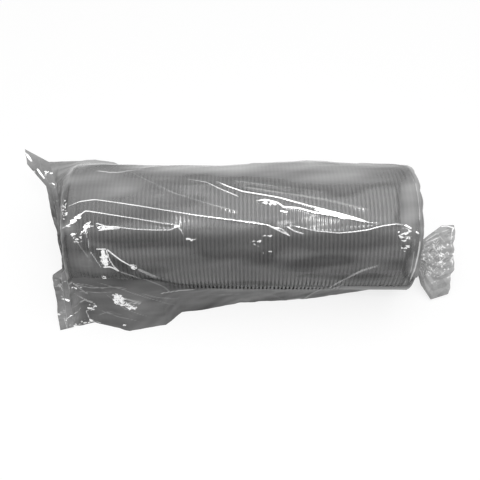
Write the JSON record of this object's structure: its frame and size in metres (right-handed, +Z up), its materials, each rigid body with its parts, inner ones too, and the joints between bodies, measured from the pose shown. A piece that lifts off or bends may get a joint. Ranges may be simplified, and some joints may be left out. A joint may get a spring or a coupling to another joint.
{
  "type": "pool vacuum hose",
  "caption": "Wire-supported corrugated suction hose for pool cleaning, pushed together to its packed length and lying in its clear film bag with a gathered mouth.",
  "frame": {"origin": "under the middle of the packed hose and its bag, on the surface that the bag lies on", "axes": "+X along the hose, from the bag's sealed end to its gathered mouth; +Z up"},
  "size_m": [0.3868, 0.1562, 0.1099],
  "materials": {
    "hose_film": "grey plastic film over the wire, satin, in fine close ribs",
    "inner_ply_film": "grey plastic film, smooth and matt",
    "spring_wire": "drawn spring steel wire",
    "binding_tape": "grey hem tape, satin",
    "bag_film": "thin clear bag film, glossy, creased and slightly smoky",
    "bag_weld": "two films of the bag welded flat, glossy and creased",
    "clear_band": "clear plastic tape wound round the gather"
  },
  "bodies": {
    "root": {"inner_ply": "inner_ply_film", "wire_helix": "spring_wire", "outer_ply": "hose_film", "fixed_end_binding": "binding_tape"},
    "free_end": {"free_end_binding": "binding_tape"},
    "bag": {"bag_sleeve": "bag_film", "bag_bottom": "bag_film", "bag_seal": "bag_weld", "bag_shoulder": "bag_film", "bag_tail": "bag_film", "neck_band": "clear_band"}
  },
  "joints": [
    {"name": "hose_stretch", "type": "slide", "parent": "root", "child": "free_end", "axis": [1, 0, 0], "range_m": [0, 2.763], "deforming": ["outer_ply", "inner_ply", "wire_helix", "bag_shoulder", "bag_tail", "neck_band"]},
    {"name": "bag_off", "type": "slide", "parent": "root", "child": "bag", "axis": [-1, 0, 0], "range_m": [0, 0.457], "deforming": ["bag_shoulder", "bag_tail", "neck_band"]}
  ]
}
